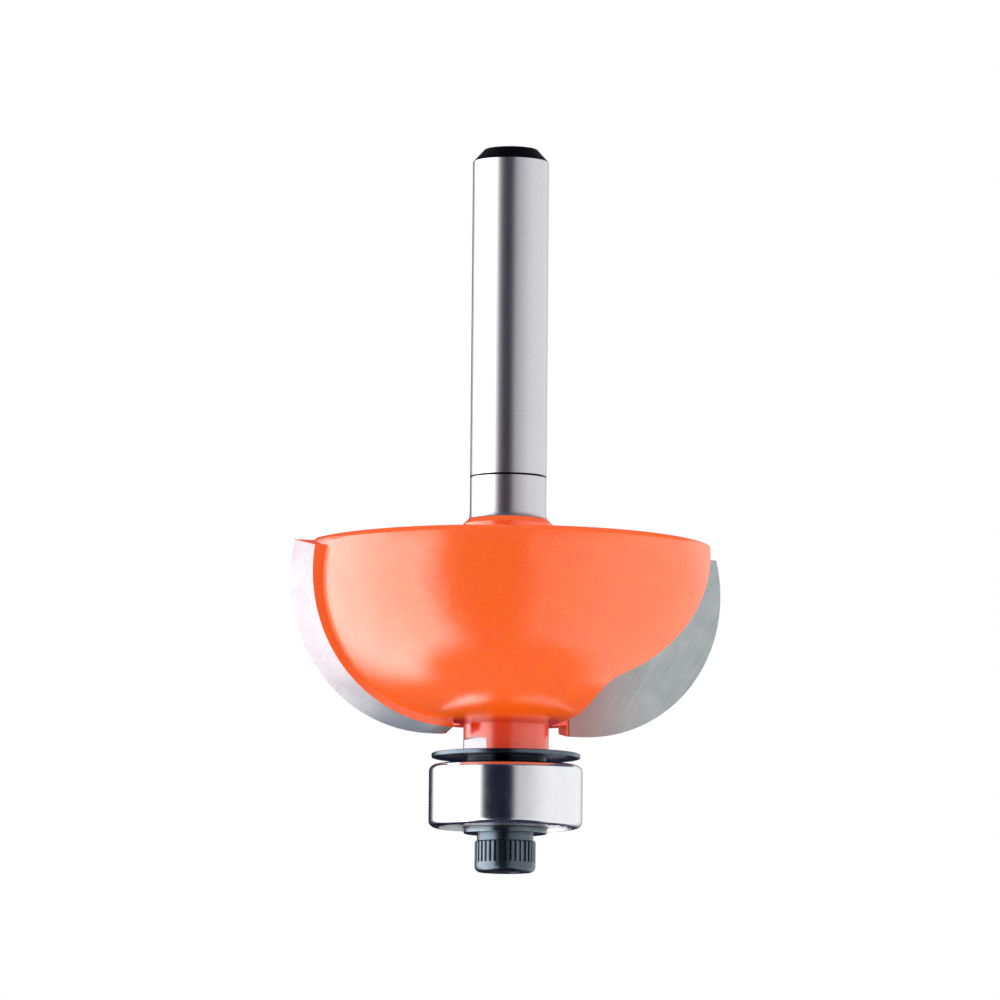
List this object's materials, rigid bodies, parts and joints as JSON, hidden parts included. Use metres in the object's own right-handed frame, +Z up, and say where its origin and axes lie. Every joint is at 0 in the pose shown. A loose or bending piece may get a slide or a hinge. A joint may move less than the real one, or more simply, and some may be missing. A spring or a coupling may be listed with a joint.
{
  "type": "router bit",
  "caption": "Cove router bit with brazed carbide tips on a bowl-shaped body, a plain round shank and a guide bearing screwed to its end.",
  "frame": {"origin": "middle of the flat bottom of the bearing screw's head, which is the lowest point of the bit", "axes": "+Z up the shank along the axis of rotation, +X along blade A, whose cutting face looks towards -Y"},
  "size_m": [0.038, 0.0346, 0.0602],
  "materials": {
    "cutter_steel": "orange non-stick coating, with the shank left as bare ground steel",
    "carbide": "ground carbide with fine grinding lines",
    "guard_black": "black oxide, satin",
    "ring_steel": "ground and honed bearing steel",
    "ball_steel": "polished",
    "cage_steel": "pressed sheet steel",
    "shield_steel": "bright pressed sheet steel",
    "snap_steel": "bright spring steel",
    "washer_dark": "dark oxide, satin",
    "screw_dark": "dark oxide, satin, with a knurled head"
  },
  "bodies": {
    "cutter": {"cutter_body": "cutter_steel", "carbide_tip_a": "carbide", "carbide_tip_b": "carbide", "guard_washer": "guard_black", "bearing_inner_ring": "ring_steel", "clamp_washer": "washer_dark", "bearing_screw": "screw_dark"},
    "bearing_outer": {"bearing_outer_ring": "ring_steel", "upper_shield": "shield_steel", "lower_shield": "shield_steel", "upper_snap_ring": "snap_steel", "lower_snap_ring": "snap_steel"},
    "bearing_cage": {"cage_upper": "cage_steel", "cage_lower": "cage_steel", "ball_1": "ball_steel", "ball_2": "ball_steel", "ball_3": "ball_steel", "ball_4": "ball_steel", "ball_5": "ball_steel", "ball_6": "ball_steel", "ball_7": "ball_steel"}
  },
  "joints": [
    {"name": "bearing_spin", "type": "hinge", "parent": "cutter", "child": "bearing_outer", "pos_m": [0, 0, 0.00626], "axis": [0, 0, 1], "continuous": true},
    {"name": "cage_spin", "type": "hinge", "parent": "cutter", "child": "bearing_cage", "pos_m": [0, 0, 0.00626], "axis": [0, 0, 1], "continuous": true}
  ],
  "couplings": [
    {"joint": "cage_spin", "follows": "bearing_spin", "ratio": 0.6364}
  ]
}
